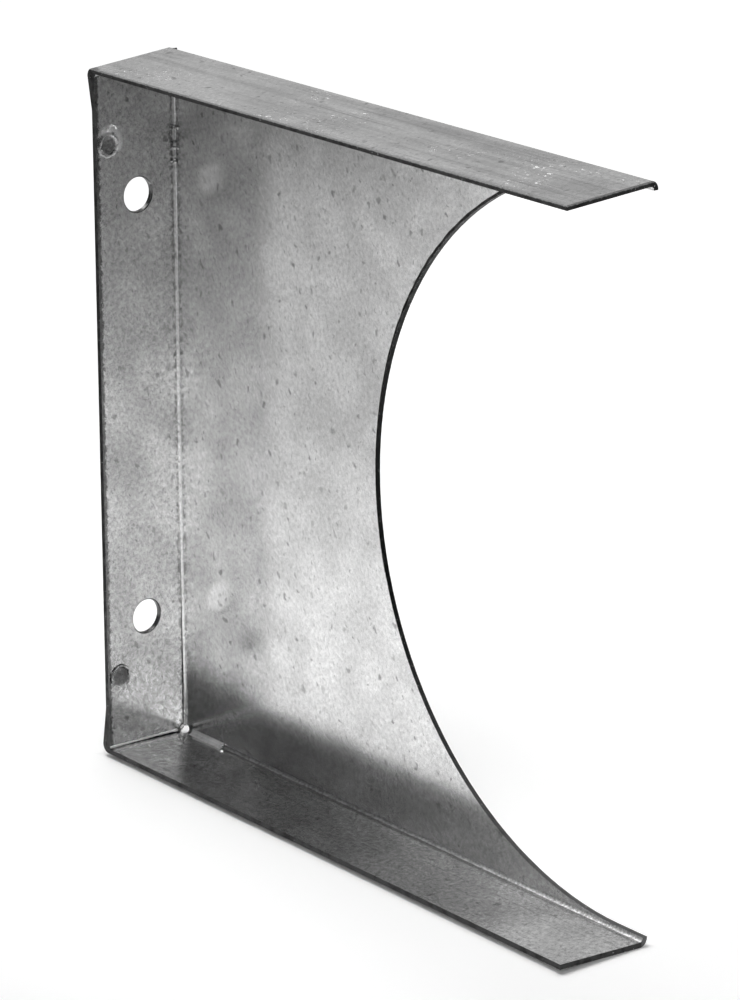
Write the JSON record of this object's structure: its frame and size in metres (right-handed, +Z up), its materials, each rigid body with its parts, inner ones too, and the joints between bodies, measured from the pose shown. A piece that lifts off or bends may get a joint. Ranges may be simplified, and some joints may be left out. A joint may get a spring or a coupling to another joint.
{
  "type": "downpipe bracket",
  "caption": "Folded galvanised sheet bracket: a web with a half-round downpipe saddle, flanges folded round it, lapped spot-welded corners and screw holes in the wall flange.",
  "frame": {"origin": "midway between the two wall holes, on the rear face of the wall flange", "axes": "+X out from the wall towards the pipe, +Y from the front edges towards the web along the pipe's axis, +Z up as the bracket stands on its lower flange"},
  "size_m": [0.1029, 0.015, 0.1032],
  "materials": {
    "galvanised_steel": "satin zinc coat with fine mottling, dark sheared edges"
  },
  "bodies": {
    "root": {"folded_bracket": "galvanised_steel"}
  },
  "joints": []
}
